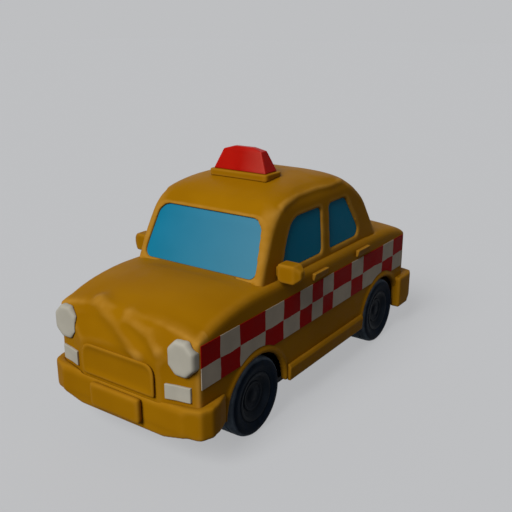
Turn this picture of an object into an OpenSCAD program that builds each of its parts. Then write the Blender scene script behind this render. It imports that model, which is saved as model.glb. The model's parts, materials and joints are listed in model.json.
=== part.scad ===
// Toy taxi: a push-along pretend-play car moulded in plastic.
// X runs across the car and plus X is its left side, the nose faces minus Y, Z is up.
// The wheels stand on z = 0, and y = 0 is halfway between the two bumpers.

/* [Body] */
// Length over the bumpers
total_l = 173.6; // [170:0.2:178]
// Width across the flat sides
body_w = 64.4; // [62:0.2:67]
// Height of the body's lower edge
sill_z = 14; // [13.4:0.1:14.4]
// Height of the shoulder under the windows
belt_z = 55.5; // [54.5:0.1:56]
// Rise of the bonnet's middle above its edges
crown_h = 2.9; // [2:0.1:3.4]
// Thickness of the moulded shells
wall = 2.2; // [1.8:0.1:2.4]
// Distance from the front end of the car back to the body's nose
nose_setback = 3.8; // [3.6:0.1:4.6]
// Distance from the rear end of the car forward to the body's tail
tail_setback = 7.2; // [6.5:0.1:8]

/* [Cabin] */
// Height of the roof's crown
roof_z = 87.6; // [86:0.2:90]
// Distance from the front end of the car back to the foot of the windscreen
cabin_setback = 45.2; // [44:0.2:46.6]
// Length of the cabin at the shoulder
cabin_l = 91.2; // [90:0.2:93]
// Width of the shoulder's ledge beside the cabin
shoulder_w = 2.6; // [2.5:0.1:3.2]
// Width of the pillar beside the windscreen's foot, seen from the front
front_pillar_w = 2.8; // [2.6:0.1:4.4]
// Extra width of that pillar at the windscreen's head
screen_taper = 1.3; // [1:0.1:2.4]
// Width of the windscreen pillar, seen from the side
a_pillar_w = 13.5; // [12.5:0.5:18]
// Width of the door pillar
b_pillar_w = 6; // [5:0.5:8]
// Width of the rear pillar
c_pillar_w = 13; // [11:0.2:14]
// Distance from the foot of the windscreen back to the door pillar's middle
b_pillar_y = 47.2; // [46:0.2:51]
// Height of the windows above the shoulder
window_rise = 0.9; // [0.6:0.1:1.5]
// Depth of the roof above the side windows
side_header_h = 12.4; // [12:0.2:15.2]
// Depth of the roof above the windscreen and the rear window
screen_header_h = 10.2; // [10:0.2:13.2]
// Thickness of the window panes
glass_t = 1.3; // [1:0.1:1.5]
// Depth of the panes behind the cabin's skin
glass_recess = 0.6; // [0.4:0.1:0.9]

/* [Wheels] */
// Diameter of the tyres
wheel_d = 30; // [29:0.2:31]
// Width of the tyres
tyre_w = 12.3; // [11:0.1:13]
// Thickness of the tyres round the hubs
tyre_wall = 5.5; // [4.5:0.25:6.5]
// Depth of the dish in a hub's face
hub_dish = 1.8; // [1:0.1:2.5]
// Distance between the axles
wheelbase = 100; // [98:0.5:101]
// Distance from the front end of the car back to the front axle
front_overhang = 39.9; // [39.4:0.1:41]
// Diameter of the steel axles
axle_d = 3; // [2.5:0.1:3.4]
// Radial clearance of the axles in the lugs
axle_fit = 0.05; // [0.02:0.01:0.1]
// End play of each wheelset
axle_play = 0.5; // [0.4:0.1:0.8]
// Gap between a tyre's tread and the wheel arch
arch_gap = 2.4; // [2:0.1:3]
// Width of the lip round a wheel arch
lip_w = 2; // [1.5:0.1:2.4]
// Height of the lip above the body side
lip_proud = 1; // [0.6:0.1:1.2]

/* [Front and rear] */
// Height of the front bumper's underside
bumper_z = 15; // [14.6:0.1:15.4]
// Height of the front bumper
bumper_h = 11.2; // [10.8:0.1:11.8]
// Height of the rear bumper's underside
rear_bumper_z = 11.8; // [11.4:0.1:12.4]
// Height of the rear bumper
rear_bumper_h = 15; // [14:0.1:15.6]
// Reach of the front bumper past the body sides
bumper_proud = 4; // [3.4:0.1:4.4]
// Reach of the rear bumper past the body sides
rear_bumper_proud = 2.8; // [2.4:0.1:3.6]
// Width of the plain plate block
plate_w = 23.4; // [20:0.2:26]
// Thickness of the plain plate block
plate_t = 2.6; // [2:0.1:3]
// Width of the grille panel
grille_w = 34; // [31:0.5:35]
// Height of the grille panel
grille_h = 12.4; // [11:0.2:13]
// Thickness of the grille panel
grille_t = 0.9; // [0.7:0.1:1.2]
// Width of a headlight
headlight_w = 11; // [10:0.2:12]
// Distance from a headlight's middle to the body side
headlight_inset = 5.6; // [5.4:0.1:6.4]
// Distance from the shoulder down to a headlight's top
headlight_drop = 6.9; // [6.4:0.1:7.6]
// Width of an indicator lamp
indicator_w = 10.4; // [9:0.2:11]
// Height of an indicator lamp
indicator_h = 5.4; // [4.6:0.2:6]
// Distance from the front bumper's top up to an indicator lamp's middle
indicator_rise = 3.9; // [3.4:0.1:4.4]
// Gap between an indicator lamp and the headlight above it
lamp_gap = 3.4; // [3:0.1:4]
// Width of a tail lamp
tail_lamp_w = 8; // [7:0.2:9]
// Height of a tail lamp
tail_lamp_h = 9; // [7:0.2:10]
// Reach of a tail lamp behind the tail
tail_lamp_proud = 1.4; // [1:0.1:2]

/* [Trim] */
// Width of the roof sign at its foot
sign_w = 25; // [23:0.2:27]
// Depth of the roof sign at its foot
sign_l = 8.4; // [8:0.2:9.4]
// Height of the roof sign's lens
sign_h = 9.2; // [8:0.2:10]
// Margin of the sign's plinth round the lens
plinth_margin = 1.3; // [1:0.1:2]
// Height of the plinth above the roof's crown
plinth_h = 1; // [0.8:0.1:1.6]
// Distance from the foot of the windscreen back to the sign's middle
sign_setback = 32.4; // [31:0.2:36]
// Reach of a door mirror past the body side
mirror_reach = 8; // [7:0.2:9]
// Height of a door mirror
mirror_h = 7; // [6.4:0.2:7.6]
// Depth of a door mirror
mirror_l = 6; // [5:0.2:7]
// Distance from the foot of the windscreen back to a mirror's middle
mirror_setback = 11.4; // [10.6:0.2:12.4]
// Length of a door handle
handle_l = 10.5; // [9:0.5:12]
// Height of a door handle
handle_h = 3; // [2.4:0.1:3.2]
// Reach of a door handle past the body side
handle_proud = 1.7; // [1.2:0.1:2.2]
// Height of the running boards
board_h = 6.6; // [6:0.1:7]
// Reach of the running boards past the body side
board_proud = 1.8; // [1.4:0.1:2.2]
// Distance from the shoulder down to the check band's top
band_drop = 8.3; // [8:0.1:9]
// Distance from the front bumper's top up to the check band
band_rise = 5.6; // [5:0.1:6.4]
// Thickness of the check band stickers
band_t = 0.25; // [0.15:0.05:0.4]

/* [Base] */
// Thickness of the base plate
base_t = 2; // [1.8:0.1:2.4]
// Thickness of an axle lug
lug_t = 5; // [4:0.2:6]
// Wall of a lug round the axle
lug_wall = 3; // [2:0.1:3.5]
// Diameter of a base screw's shank
screw_d = 2.6; // [2.2:0.1:3]
// Length of a base screw under its head
screw_l = 10; // [8:0.5:12]
// Diameter of a base screw's head
screw_head_d = 5; // [4.4:0.1:5.6]
// Outer diameter of the screw posts
post_d = 7; // [6:0.1:8]

/* [Hidden] */

$fn = 64;
corner_fn = 32;

// One overrun serves all cuts, and slice is the thickness of a section that a hull joins
overrun = 1;
slice = 0.02;
// Gap where a trim piece seats on a curved shell
seat_fit = 0.1;
// Gap round a pane and round the cabin where they plug in
plug_fit = 0.15;

amber = [0.93, 0.60, 0.04];
glass_blue = [0.16, 0.50, 0.66];
cream = [0.86, 0.83, 0.74];
sign_red = [0.80, 0.08, 0.05];
tyre_navy = [0.05, 0.08, 0.13];
steel = [0.70, 0.72, 0.74];
base_grey = [0.12, 0.13, 0.15];

half_w = body_w / 2;
front_y = -total_l / 2;
rear_y = total_l / 2;
nose_y = front_y + nose_setback;
tail_y = rear_y - tail_setback;
body_l = tail_y - nose_y;
body_h = belt_z - sill_z;

axle_z = wheel_d / 2;
front_axle_y = front_y + front_overhang;
rear_axle_y = front_axle_y + wheelbase;
axle_ys = [front_axle_y, rear_axle_y];
arch_r = wheel_d / 2 + arch_gap;
lip_r = arch_r + lip_w;
tyre_in_x = half_w - tyre_w;

// Sections of the lower body: place along its length, width, edge height, crown height
station_shares = [
    [0.000, 0.560, 0.590, 0.70], [0.011, 0.760, 0.715, 1.00], [0.021, 0.963, 0.790, 1.30],
    [0.029, 1.000, 0.833, 1.30], [0.055, 1.000, 0.886, 1.20], [0.092, 1.000, 0.934, 1.10],
    [0.141, 1.000, 0.973, 1.00], [0.203, 1.000, 0.998, 0.75], [0.252, 1.000, 1.000, 0.55],
    [0.326, 1.000, 0.988, 0.55], [0.818, 1.000, 0.964, 0.60], [0.892, 1.000, 0.945, 0.60],
    [0.941, 1.000, 0.911, 0.60], [0.972, 1.000, 0.863, 0.55], [0.990, 0.975, 0.783, 0.50],
    [1.000, 0.925, 0.675, 0.40]];
// Points across a section's crown, from its edge to its middle
crown_shares = [0.9, 0.75, 0.5, 0.25, 0];
crown_power = 2.5;
edge_h = 1.2;
edge_w_share = 0.4;

// Rings of the cabin: height, front inset, rear inset, width, corner
ring_shares = [
    [-0.17, -0.023, -0.038, 1.003, 0.15], [0.00, 0.000, 0.000, 1.000, 0.15],
    [0.30, 0.043, 0.068, 0.983, 0.16], [0.48, 0.072, 0.107, 0.969, 0.18],
    [0.64, 0.098, 0.162, 0.955, 0.22], [0.76, 0.132, 0.212, 0.932, 0.26],
    [0.86, 0.190, 0.261, 0.870, 0.36], [0.935, 0.280, 0.326, 0.710, 0.51],
    [0.98, 0.380, 0.402, 0.450, 0.66], [1.00, 0.440, 0.462, 0.205, 0.66]];
cabin_h = roof_z - belt_z;
cabin_w = body_w - 2 * shoulder_w;
cabin_front_y = front_y + cabin_setback;
cabin_rear_y = cabin_front_y + cabin_l;
cabin_mid_y = (cabin_front_y + cabin_rear_y) / 2;

function ring_z(ring) = belt_z + ring[0] * cabin_h;
function ring_front(ring) = cabin_front_y + ring[1] * cabin_l;
function ring_rear(ring) = cabin_rear_y - ring[2] * cabin_l;
function ring_half(ring) = ring[3] * cabin_w / 2;
function cabin_front(z) = lookup(z, [for (ring = ring_shares) [ring_z(ring), ring_front(ring)]]);
function cabin_rear(z) = lookup(z, [for (ring = ring_shares) [ring_z(ring), ring_rear(ring)]]);
function cabin_half(z) = lookup(z, [for (ring = ring_shares) [ring_z(ring), ring_half(ring)]]);

window_z = belt_z + window_rise;
side_window_top = roof_z - side_header_h;
screen_top = roof_z - screen_header_h;
door_y = cabin_front_y + b_pillar_y;
window_corner = (side_window_top - window_z) / 5;

// The base plate hangs under the axles, and a thin floor closes each lug's bore below
lug_floor = 0.95;
bore_d = axle_d + 2 * axle_fit;
base_z = axle_z - bore_d / 2 - lug_floor;
base_top = base_z + base_t;
base_gap = 0.4;
lug_x = tyre_in_x - axle_play;
lug_w = axle_d + 2 * lug_wall;
wheel_notch = wheel_d / 2 + arch_gap / 2;
axle_window = axle_d + 2 * arch_gap;
screw_head_h = base_t / 2;
screw_fit = 0.2;
pilot_fit = 0.05;
post_x = lug_x - lug_t + post_d / 4;
post_inset = 15;
rear_post_inset = 9;
post_ys = [nose_y + post_inset, tail_y - rear_post_inset];
post_places = [for (y = post_ys, side = [-1, 1]) [side * post_x, y]];

hub_d = wheel_d - 2 * tyre_wall;
hub_face_x = half_w - lip_proud / 2;
hub_wall = hub_d / 12;
axle_end_x = hub_face_x - hub_dish - hub_wall;

sign_y = cabin_front_y + sign_setback;
plinth_top = roof_z + plinth_h;
mirror_y = cabin_front_y + mirror_setback;
mirror_rise = 2.8;
mirror_z = belt_z + mirror_rise;

// Lower body

function station_y(i, grow) =
    min(max(nose_y + station_shares[i][0] * body_l, nose_y - grow), tail_y + grow)
    + (i == 0 ? -max(grow, 0) : 0) + (i == len(station_shares) - 1 ? max(grow, 0) : 0);

function station_half(i, grow, foot_z) =
    let (share = station_shares[i],
         w = share[1] * half_w + grow,
         edge = sill_z + share[2] * body_h + grow,
         crown = share[3] * crown_h)
    concat([[w, foot_z], [w, edge - edge_h], [w - edge_h * edge_w_share, edge]],
           [for (s = crown_shares) [s * w, edge + crown * (1 - pow(s, crown_power))]]);

// The same points on the other side of the car, in backward order, without those on the middle line
function mirrored(points) =
    [for (i = [len(points) - 1 : -1 : 0]) if (points[i][0] > 0) [-points[i][0], points[i][1]]];

module station(i, grow, foot_z) {
    half = station_half(i, grow, foot_z);
    translate([0, station_y(i, grow), 0])
        rotate([90, 0, 0])
            linear_extrude(slice, center = true)
                polygon(concat(half, mirrored(half)));
}

// The lower body's outer form, grown or shrunk, down to foot_z
module body_form(grow = 0, foot_z = sill_z) {
    for (i = [0 : len(station_shares) - 2])
        hull() {
            station(i, grow, foot_z);
            station(i + 1, grow, foot_z);
        }
}

module ring_disc(ring, grow) {
    half = ring_half(ring) + grow;
    front = ring_front(ring) - grow;
    rear = ring_rear(ring) + grow;
    r = ring[4] * half;
    translate([0, 0, ring_z(ring) + (ring[0] < 0 ? min(grow, 0) : grow * ring[0])])
        hull()
            for (x = [-half + r, half - r], y = [front + r, rear - r])
                translate([x, y, 0]) cylinder(h = slice, r = r, center = true, $fn = corner_fn);
}

// The cabin's outer form, grown or shrunk
module cabin_form(grow = 0) {
    hull()
        for (ring = ring_shares)
            ring_disc(ring, grow);
}

module along_axle(y, r, length) {
    translate([0, y, axle_z])
        rotate([0, 90, 0])
            cylinder(h = length, r = r, center = true);
}

module arch_lips() {
    for (y = axle_ys)
        intersection() {
            difference() {
                along_axle(y, lip_r, body_w + 2 * lip_proud);
                along_axle(y, arch_r, body_w + 2 * lip_proud + overrun);
                cube([body_w - wall, 2 * total_l, 2 * roof_z], center = true);
            }
            translate([-body_w, -total_l, sill_z]) cube([2 * body_w, 2 * total_l, roof_z]);
        }
}

module screw_posts() {
    intersection() {
        for (place = post_places)
            translate([place[0], place[1], base_top])
                difference() {
                    cylinder(h = belt_z, d = post_d);
                    translate([0, 0, -overrun]) cylinder(h = screw_l + overrun, d = screw_d + 2 * pilot_fit);
                }
        body_form(-wall / 2, 0);
    }
}

module body_shell() {
    color(amber)
        difference() {
            union() {
                difference() {
                    body_form();
                    body_form(-wall, sill_z - overrun);
                    for (y = axle_ys) along_axle(y, arch_r, 2 * body_w);
                }
                arch_lips();
                screw_posts();
            }
            cabin_form(plug_fit);
        }
}

// Cabin and glazing

module rounded(corner) {
    offset(r = corner) offset(delta = -corner) children();
}

module front_pane_outline() {
    rounded(window_corner)
        polygon([[cabin_front(window_z) + a_pillar_w, window_z], [door_y - b_pillar_w / 2, window_z],
                 [door_y - b_pillar_w / 2, side_window_top],
                 [cabin_front(side_window_top) + a_pillar_w, side_window_top]]);
}

module rear_pane_outline() {
    rounded(window_corner)
        polygon([[door_y + b_pillar_w / 2, window_z], [cabin_rear(window_z) - c_pillar_w, window_z],
                 [cabin_rear(side_window_top) - c_pillar_w, side_window_top],
                 [door_y + b_pillar_w / 2, side_window_top]]);
}

module screen_outline() {
    foot = cabin_half(window_z) - front_pillar_w;
    head = cabin_half(screen_top) - front_pillar_w - screen_taper;
    rounded(window_corner)
        polygon([[-foot, window_z], [foot, window_z], [head, screen_top], [-head, screen_top]]);
}

// An outline in y and z, reaching from the middle out to plus X
module to_left() {
    rotate([90, 0, 90]) linear_extrude(body_w) children();
}

// An outline in x and z, reaching from the middle of the cabin to its front or its rear
module to_front() {
    translate([0, cabin_mid_y, 0]) rotate([90, 0, 0]) linear_extrude(cabin_l) children();
}

module to_rear() {
    translate([0, cabin_mid_y, 0]) rotate([90, 0, 180]) linear_extrude(cabin_l) children();
}

module on_side(side) {
    mirror([side < 0 ? 1 : 0, 0, 0]) children();
}

module cabin_shell() {
    color(amber)
        difference() {
            cabin_form();
            cabin_form(-wall);
            for (side = [-1, 1])
                on_side(side) to_left() {
                    front_pane_outline();
                    rear_pane_outline();
                }
            to_front() screen_outline();
            to_rear() screen_outline();
        }
}

// The layer of the cabin's skin that the panes lie in
module glass_layer() {
    difference() {
        cabin_form(-glass_recess);
        cabin_form(-glass_recess - glass_t);
    }
}

module windscreen() {
    color(glass_blue) intersection() {
        glass_layer();
        to_front() offset(delta = -plug_fit) screen_outline();
    }
}

module rear_window() {
    color(glass_blue) intersection() {
        glass_layer();
        to_rear() offset(delta = -plug_fit) screen_outline();
    }
}

module front_window(side) {
    color(glass_blue) on_side(side) intersection() {
        glass_layer();
        to_left() offset(delta = -plug_fit) front_pane_outline();
    }
}

module rear_side_window(side) {
    color(glass_blue) on_side(side) intersection() {
        glass_layer();
        to_left() offset(delta = -plug_fit) rear_pane_outline();
    }
}

// Roof sign

module sign_plinth() {
    color(amber) difference() {
        translate([0, sign_y, plinth_top - cabin_h / 4])
            linear_extrude(cabin_h / 4)
                rounded(plinth_margin)
                    square([sign_w + 2 * plinth_margin, sign_l + 2 * plinth_margin], center = true);
        cabin_form(seat_fit);
    }
}

sign_top_w_share = 0.72;
sign_top_l_share = 0.5;
sign_crown_share = 0.86;

module sign_lens() {
    color(sign_red) translate([0, sign_y, plinth_top]) hull() {
        linear_extrude(slice) square([sign_w, sign_l], center = true);
        translate([0, 0, sign_h * sign_crown_share])
            linear_extrude(slice)
                square([sign_w * sign_top_w_share, sign_l * sign_top_l_share], center = true);
        translate([0, 0, sign_h - slice])
            linear_extrude(slice)
                square([sign_w * sign_top_w_share / 2, sign_l * sign_top_l_share / 2], center = true);
    }
}

// Front and rear

// Half of a bumper's plan: share of the half width, then share of the length back from its face
bumper_shares = [[0, 0], [0.78, 0.01], [0.95, 0.15], [1, 0.40], [0.98, 0.66], [0.92, 1]];

module bumper_plan(face_y, end_y, reach) {
    half = half_w + reach;
    points = [for (share = bumper_shares) [share[0] * half, face_y + share[1] * (end_y - face_y)]];
    polygon(concat(points, mirrored(points)));
}

bumper_face_y = front_y + plate_t;
front_bumper_end = front_axle_y - lip_r - base_gap;
rear_bumper_end = rear_axle_y + lip_r + base_gap;
bumper_bevel = 2;
rear_bevel_l_share = 0.55;
rear_bevel_h_share = 0.5;

// A bar along X whose outline is in y and z
module across() {
    rotate([90, 0, 90]) linear_extrude(2 * body_w, center = true) children();
}

module front_bumper() {
    top = bumper_z + bumper_h;
    color(amber) difference() {
        intersection() {
            translate([0, 0, bumper_z]) linear_extrude(bumper_h)
                bumper_plan(bumper_face_y, front_bumper_end, bumper_proud);
            across() polygon([[bumper_face_y + bumper_bevel, bumper_z], [front_bumper_end, bumper_z],
                              [front_bumper_end, top], [bumper_face_y + bumper_bevel / 2, top],
                              [bumper_face_y, top - bumper_bevel], [bumper_face_y, bumper_z + bumper_bevel]]);
        }
        body_form(seat_fit, 0);
    }
}

module rear_bumper() {
    top = rear_bumper_z + rear_bumper_h;
    bar_l = rear_y - rear_bumper_end;
    color(amber) difference() {
        intersection() {
            translate([0, 0, rear_bumper_z]) linear_extrude(rear_bumper_h)
                bumper_plan(rear_y, rear_bumper_end, rear_bumper_proud);
            across() polygon([[rear_bumper_end, rear_bumper_z],
                              [rear_y - bar_l * rear_bevel_l_share, rear_bumper_z],
                              [rear_y, rear_bumper_z + rear_bumper_h * rear_bevel_h_share],
                              [rear_y, top - bumper_bevel], [rear_y - bumper_bevel / 2, top],
                              [rear_bumper_end, top]]);
        }
        body_form(seat_fit, 0);
    }
}

plate_margin = 0.8;

module front_plate() {
    color(amber)
        translate([-plate_w / 2, front_y, bumper_z + plate_margin])
            cube([plate_w, plate_t, bumper_h - 2 * plate_margin]);
}

grille_rim_w = 1.4;
grille_rim_t = 0.6;

module grille_outline() {
    corner = grille_h / 3;
    intersection() {
        rounded(corner) translate([-grille_w / 2, -grille_h]) square([grille_w, 2 * grille_h]);
        translate([-grille_w, 0]) square([2 * grille_w, 2 * grille_h]);
    }
}

module grille_panel() {
    color(amber)
        translate([0, nose_y - seat_fit, bumper_z + bumper_h + seat_fit])
            rotate([90, 0, 0]) {
                linear_extrude(grille_t) grille_outline();
                linear_extrude(grille_t + grille_rim_t)
                    difference() {
                        grille_outline();
                        offset(delta = -grille_rim_w) grille_outline();
                    }
            }
}

indicator_inset = 2.4;
indicator_setback = 1.2;
indicator_back = 6;
indicator_z = bumper_z + bumper_h + indicator_rise;

module indicator(side) {
    color(cream) on_side(side) difference() {
        translate([half_w - indicator_inset - indicator_w, nose_y + indicator_setback,
                   indicator_z - indicator_h / 2])
            cube([indicator_w, indicator_back, indicator_h]);
        body_form(seat_fit, 0);
    }
}

lamp_corner_share = 0.29;
headlight_setback = 0.6;
headlight_back = 2.8;
headlight_bevel = 1.2;
headlight_top = belt_z - headlight_drop;
headlight_foot = indicator_z + indicator_h / 2 + lamp_gap;
headlight_h = headlight_top - headlight_foot;

module octagon(w, h) {
    cut = min(w, h) * lamp_corner_share;
    polygon([[-w / 2, cut - h / 2], [cut - w / 2, -h / 2], [w / 2 - cut, -h / 2], [w / 2, cut - h / 2],
             [w / 2, h / 2 - cut], [w / 2 - cut, h / 2], [cut - w / 2, h / 2], [-w / 2, h / 2 - cut]]);
}

module headlight(side) {
    color(cream) on_side(side) difference() {
        translate([half_w - headlight_inset, nose_y + headlight_setback, headlight_foot + headlight_h / 2])
            rotate([-90, 0, 0])
                hull() {
                    linear_extrude(slice)
                        octagon(headlight_w - headlight_bevel, headlight_h - headlight_bevel);
                    translate([0, 0, headlight_bevel])
                        linear_extrude(headlight_back) octagon(headlight_w, headlight_h);
                }
        body_form(seat_fit, 0);
    }
}

tail_lamp_inset = 4;
tail_lamp_rise = 3;

module tail_lamp(side) {
    color(sign_red) on_side(side)
        translate([half_w - tail_lamp_inset - tail_lamp_w, tail_y + seat_fit,
                   rear_bumper_z + rear_bumper_h + tail_lamp_rise])
            cube([tail_lamp_w, tail_lamp_proud, tail_lamp_h]);
}

// Trim on the sides

mirror_end_share = 0.45;
mirror_neck_share = 0.6;
mirror_knee_share = 0.7;
mirror_neck = 1.4;

// A section of the mirror, x away from the middle of the car
module mirror_section(x, size_share) {
    translate([0, 0, x])
        linear_extrude(slice)
            square([mirror_l * size_share, mirror_h * size_share], center = true);
}

module door_mirror(side) {
    neck_x = cabin_w / 2 + mirror_neck;
    color(amber) on_side(side) difference() {
        translate([0, mirror_y, mirror_z]) rotate([90, 0, 90]) {
            hull() {
                mirror_section(cabin_w / 2 - mirror_neck, mirror_neck_share);
                mirror_section(neck_x + slice, mirror_neck_share);
            }
            hull() {
                mirror_section(neck_x, 1);
                mirror_section(half_w + mirror_reach * mirror_knee_share, 1);
                mirror_section(half_w + mirror_reach - slice, mirror_end_share);
            }
        }
        cabin_form(seat_fit);
        body_form(seat_fit, 0);
    }
}

band_top = belt_z - band_drop;
band_z = bumper_z + bumper_h + band_rise;
handle_z = band_top + handle_h / 2;
handle_lead = 4;

module handle(side, back_y) {
    color(amber) on_side(side)
        translate([half_w, back_y, handle_z])
            rotate([90, 0, 0])
                linear_extrude(handle_l)
                    polygon([[0, 0], [handle_proud / 2, 0], [handle_proud, handle_h], [0, handle_h]]);
}

front_handle_y = door_y - b_pillar_w / 2 - handle_lead / 2;
rear_handle_y = cabin_rear(window_z) - c_pillar_w + handle_lead / 4;

board_top_share = 0.6;
board_foot_share = 0.8;
board_z = sill_z - lip_proud / 2;
board_front_y = front_axle_y + lip_r + base_gap;
board_rear_y = rear_axle_y - lip_r - base_gap;

module running_board(side) {
    color(amber) on_side(side)
        translate([half_w, board_rear_y, board_z])
            rotate([90, 0, 0])
                linear_extrude(board_rear_y - board_front_y)
                    polygon([[0, 0], [board_proud * board_foot_share, 0],
                             [board_proud, board_h * board_foot_share],
                             [board_proud * board_top_share, board_h], [0, board_h]]);
}

band_front_y = nose_y + station_shares[3][0] * body_l;
band_rear_y = nose_y + station_shares[13][0] * body_l;

module check_band(side) {
    color("firebrick") on_side(side)
        translate([half_w, 0, 0])
            rotate([90, 0, 90])
                linear_extrude(band_t)
                    difference() {
                        translate([band_front_y, band_z])
                            square([band_rear_y - band_front_y, band_top - band_z]);
                        for (y = axle_ys) translate([y, axle_z]) circle(r = lip_r + seat_fit);
                    }
}

// Base and wheels

module base_outline() {
    offset(delta = -wall - base_gap)
        polygon([for (side = [1, -1], k = [0 : len(station_shares) - 1])
            let (i = side > 0 ? k : len(station_shares) - 1 - k)
            [side * station_shares[i][1] * half_w, station_y(i, 0)]]);
}

module base_plate() {
    color(base_grey) difference() {
        union() {
            translate([0, 0, base_z]) linear_extrude(base_t) base_outline();
            for (y = axle_ys, side = [-1, 1])
                on_side(side)
                    translate([lug_x - lug_t, y - lug_w / 2, base_z])
                        cube([lug_t, lug_w, axle_z - base_z + bore_d / 2 + lug_wall]);
        }
        for (y = axle_ys) {
            along_axle(y, bore_d / 2, 2 * lug_x + overrun);
            translate([lug_t - lug_x, y - axle_window / 2, base_z - overrun])
                cube([2 * (lug_x - lug_t), axle_window, base_t + 2 * overrun]);
            for (side = [-1, 1])
                on_side(side)
                    translate([lug_x, y - wheel_notch, base_z - overrun])
                        cube([half_w, 2 * wheel_notch, base_t + 2 * overrun]);
        }
        for (place = post_places)
            translate([place[0], place[1], base_z - overrun]) {
                cylinder(h = base_t + 2 * overrun, d = screw_d + 2 * screw_fit);
                cylinder(h = screw_head_h + overrun, d = screw_head_d + 2 * screw_fit);
            }
    }
}

module base_screws() {
    color(steel)
        for (place = post_places)
            translate([place[0], place[1], base_z]) {
                cylinder(h = screw_head_h, d = screw_head_d);
                cylinder(h = screw_l, d = screw_d);
            }
}

module axle(y) {
    color(steel) along_axle(y, axle_d / 2, 2 * axle_end_x);
}

// A wheel's outline turns about its own axis, with the outer face along plus X
module turned(y, side) {
    on_side(side) translate([0, y, axle_z]) rotate([0, 90, 0]) rotate_extrude() children();
}

hub_boss_share = 0.4;
hub_rim_share = 0.84;
hub_cap_share = 0.5;

module hub(y, side) {
    r = hub_d / 2;
    color(tyre_navy) turned(y, side)
        polygon([[axle_d / 2, tyre_in_x], [r, tyre_in_x], [r, hub_face_x], [r * hub_rim_share, hub_face_x],
                 [r * hub_rim_share - hub_wall, hub_face_x - hub_dish],
                 [r * hub_boss_share + hub_wall, hub_face_x - hub_dish],
                 [r * hub_boss_share, hub_face_x - hub_dish * hub_cap_share],
                 [0, hub_face_x - hub_dish * hub_cap_share], [0, axle_end_x], [axle_d / 2, axle_end_x]]);
}

tyre_shoulder = 2;

module tyre(y, side) {
    r = wheel_d / 2;
    color(tyre_navy) turned(y, side) {
        difference() {
            rounded(tyre_shoulder) translate([0, tyre_in_x]) square([r, tyre_w]);
            translate([0, tyre_in_x - overrun]) square([hub_d / 2, tyre_w + 2 * overrun]);
        }
    }
}

body_shell();
cabin_shell();
base_plate();
base_screws();
windscreen();
rear_window();
front_window(1);  // front_window_left
front_window(-1);  // front_window_right
rear_side_window(1);  // rear_side_window_left
rear_side_window(-1);  // rear_side_window_right
sign_plinth();
sign_lens();
front_bumper();
rear_bumper();
front_plate();
grille_panel();
headlight(1);  // headlight_left
headlight(-1);  // headlight_right
indicator(1);  // indicator_left
indicator(-1);  // indicator_right
tail_lamp(1);  // tail_lamp_left
tail_lamp(-1);  // tail_lamp_right
door_mirror(1);  // mirror_left
door_mirror(-1);  // mirror_right
handle(1, front_handle_y);  // front_handle_left
handle(-1, front_handle_y);  // front_handle_right
handle(1, rear_handle_y);  // rear_handle_left
handle(-1, rear_handle_y);  // rear_handle_right
running_board(1);  // running_board_left
running_board(-1);  // running_board_right
check_band(1);  // check_band_left
check_band(-1);  // check_band_right
axle(front_axle_y);  // axle_front
axle(rear_axle_y);  // axle_rear
hub(front_axle_y, 1);  // hub_front_left
hub(front_axle_y, -1);  // hub_front_right
hub(rear_axle_y, 1);  // hub_rear_left
hub(rear_axle_y, -1);  // hub_rear_right
tyre(front_axle_y, 1);  // tyre_front_left
tyre(front_axle_y, -1);  // tyre_front_right
tyre(rear_axle_y, 1);  // tyre_rear_left
tyre(rear_axle_y, -1);  // tyre_rear_right
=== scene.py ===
# %% [markdown]
# # A toy taxi, dressed for its photograph
#
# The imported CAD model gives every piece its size, its place and the body that it moves with.
# Here the same pieces get the soft edges, the colours and the finishes of a moulded play car.
# Sizes are typed in millimetres, as on a drawing, and MM turns them into Blender's metres.

# %% The frame
import json
import math
import bmesh
import bpy
import numpy as np
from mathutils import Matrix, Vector

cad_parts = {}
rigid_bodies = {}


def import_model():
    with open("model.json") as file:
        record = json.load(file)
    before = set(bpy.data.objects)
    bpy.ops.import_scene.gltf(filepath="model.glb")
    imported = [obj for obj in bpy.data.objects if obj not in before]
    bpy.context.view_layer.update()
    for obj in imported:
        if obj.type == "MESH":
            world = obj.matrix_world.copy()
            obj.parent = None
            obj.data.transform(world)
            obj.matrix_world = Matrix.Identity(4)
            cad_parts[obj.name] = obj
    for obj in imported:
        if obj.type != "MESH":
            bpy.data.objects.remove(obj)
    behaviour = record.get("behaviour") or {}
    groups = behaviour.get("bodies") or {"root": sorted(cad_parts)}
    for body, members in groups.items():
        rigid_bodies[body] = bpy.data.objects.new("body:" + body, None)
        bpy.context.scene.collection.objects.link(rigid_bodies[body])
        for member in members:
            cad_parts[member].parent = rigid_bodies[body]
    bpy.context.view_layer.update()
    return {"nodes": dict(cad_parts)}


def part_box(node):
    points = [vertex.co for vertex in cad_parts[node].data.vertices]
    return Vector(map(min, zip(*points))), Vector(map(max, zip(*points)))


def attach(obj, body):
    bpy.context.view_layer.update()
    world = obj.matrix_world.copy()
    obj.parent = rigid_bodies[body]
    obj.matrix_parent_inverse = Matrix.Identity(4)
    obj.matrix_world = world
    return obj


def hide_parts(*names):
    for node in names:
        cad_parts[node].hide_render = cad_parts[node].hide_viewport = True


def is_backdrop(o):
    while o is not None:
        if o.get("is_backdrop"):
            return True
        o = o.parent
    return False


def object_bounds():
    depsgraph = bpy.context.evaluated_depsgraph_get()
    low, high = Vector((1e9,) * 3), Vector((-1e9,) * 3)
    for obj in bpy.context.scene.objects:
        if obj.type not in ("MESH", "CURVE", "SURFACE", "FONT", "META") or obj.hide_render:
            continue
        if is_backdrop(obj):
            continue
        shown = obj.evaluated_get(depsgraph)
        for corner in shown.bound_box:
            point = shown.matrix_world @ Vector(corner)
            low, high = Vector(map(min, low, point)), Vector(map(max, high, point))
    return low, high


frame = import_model()
nodes = frame["nodes"]
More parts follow.
